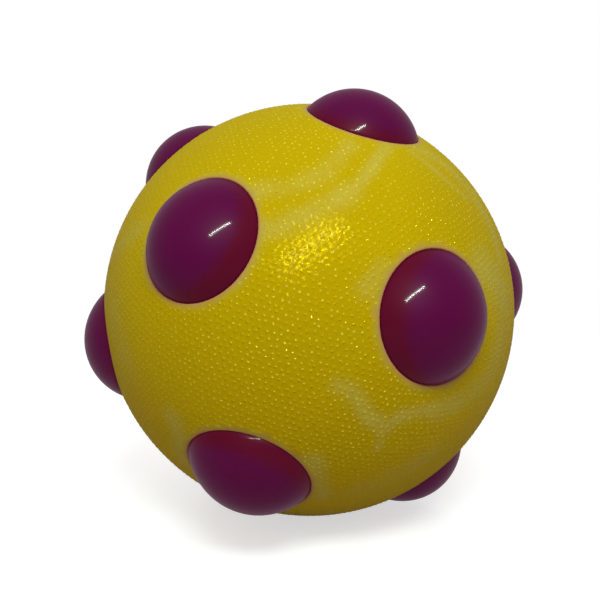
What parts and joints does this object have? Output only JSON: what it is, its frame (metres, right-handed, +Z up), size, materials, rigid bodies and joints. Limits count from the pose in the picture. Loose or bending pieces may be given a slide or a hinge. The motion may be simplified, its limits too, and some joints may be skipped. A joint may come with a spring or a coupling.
{
  "type": "sensory ball",
  "caption": "Soft round toy ball with a pebbled marbled skin in two halves, smooth translucent domes that press in, and a shake-activated light unit held at its centre.",
  "frame": {"origin": "the point of the floor under the ball's centre, where the skin touches it", "axes": "+Z up; the pole dome of the front half faces -Y and is raised 20 degrees; +X is to the right of that dome as seen from in front"},
  "size_m": [0.09, 0.0956, 0.0908],
  "materials": {
    "skin": "satin, pebbled, marbled with paler streaks",
    "dome": "glossy, translucent purple, soft",
    "web": "satin",
    "case": "clear",
    "board": "lacquered",
    "chip": "satin",
    "lamp_red": "tinted clear",
    "lamp_green": "tinted clear",
    "lamp_blue": "tinted clear",
    "sleeve": "matte",
    "contact": "stamped",
    "steel": "plated"
  },
  "bodies": {
    "ball": {"skin_front": "skin", "skin_back": "skin", "centre_web": "web", "case_front": "case", "case_back": "case", "case_screws": "steel", "circuit_board": "board", "driver_chip": "chip", "lamp_1": "lamp_red", "lamp_2": "lamp_green", "lamp_3": "lamp_blue", "button_cell_1": "steel", "button_cell_2": "steel", "button_cell_3": "steel", "cell_sleeve": "sleeve", "plate_contact": "contact", "strap_contact": "contact", "contact_pin": "contact"},
    "dome_front_pole": {"dome_front_pole": "dome"},
    "dome_front_1": {"dome_front_1": "dome"},
    "dome_front_2": {"dome_front_2": "dome"},
    "dome_front_3": {"dome_front_3": "dome"},
    "dome_front_4": {"dome_front_4": "dome"},
    "dome_front_5": {"dome_front_5": "dome"},
    "dome_back_pole": {"dome_back_pole": "dome"},
    "dome_back_1": {"dome_back_1": "dome"},
    "dome_back_2": {"dome_back_2": "dome"},
    "dome_back_3": {"dome_back_3": "dome"},
    "dome_back_4": {"dome_back_4": "dome"},
    "dome_back_5": {"dome_back_5": "dome"},
    "shake_spring": {"shake_spring": "steel"}
  },
  "joints": [
    {"name": "dome_front_pole_press", "type": "slide", "parent": "ball", "child": "dome_front_pole", "axis": [0, 0.9397, -0.342], "range_m": [0, 0.004], "stiffness_N_per_m": 1200},
    {"name": "dome_front_1_press", "type": "slide", "parent": "ball", "child": "dome_front_1", "axis": [-0.4199, 0.2108, -0.8828], "range_m": [0, 0.004], "stiffness_N_per_m": 1200},
    {"name": "dome_front_2_press", "type": "slide", "parent": "ball", "child": "dome_front_2", "axis": [0.5906, 0.2532, -0.7662], "range_m": [0, 0.004], "stiffness_N_per_m": 1200},
    {"name": "dome_front_3_press", "type": "slide", "parent": "ball", "child": "dome_front_3", "axis": [0.7849, 0.595, 0.1729], "range_m": [0, 0.004], "stiffness_N_per_m": 1200},
    {"name": "dome_front_4_press", "type": "slide", "parent": "ball", "child": "dome_front_4", "axis": [-0.1055, 0.7638, 0.6367], "range_m": [0, 0.004], "stiffness_N_per_m": 1200},
    {"name": "dome_front_5_press", "type": "slide", "parent": "ball", "child": "dome_front_5", "axis": [-0.8501, 0.5264, -0.0157], "range_m": [0, 0.004], "stiffness_N_per_m": 1200},
    {"name": "dome_back_pole_press", "type": "slide", "parent": "ball", "child": "dome_back_pole", "axis": [0, -0.9397, 0.342], "range_m": [0, 0.004], "stiffness_N_per_m": 1200},
    {"name": "dome_back_1_press", "type": "slide", "parent": "ball", "child": "dome_back_1", "axis": [0, -0.766, -0.6428], "range_m": [0, 0.004], "stiffness_N_per_m": 1200},
    {"name": "dome_back_2_press", "type": "slide", "parent": "ball", "child": "dome_back_2", "axis": [0.8236, -0.5614, -0.0805], "range_m": [0, 0.004], "stiffness_N_per_m": 1200},
    {"name": "dome_back_3_press", "type": "slide", "parent": "ball", "child": "dome_back_3", "axis": [0.509, -0.2302, 0.8294], "range_m": [0, 0.004], "stiffness_N_per_m": 1200},
    {"name": "dome_back_4_press", "type": "slide", "parent": "ball", "child": "dome_back_4", "axis": [-0.509, -0.2302, 0.8294], "range_m": [0, 0.004], "stiffness_N_per_m": 1200},
    {"name": "dome_back_5_press", "type": "slide", "parent": "ball", "child": "dome_back_5", "axis": [-0.8236, -0.5614, -0.0805], "range_m": [0, 0.004], "stiffness_N_per_m": 1200},
    {"name": "shake_spring_wobble", "type": "hinge", "parent": "ball", "child": "shake_spring", "pos_m": [-0.0085, 0.00075, 0.04473], "axis": [0, 0.342, 0.9397], "range_deg": [-6, 6], "stiffness_Nm_per_rad": 0.00006}
  ]
}
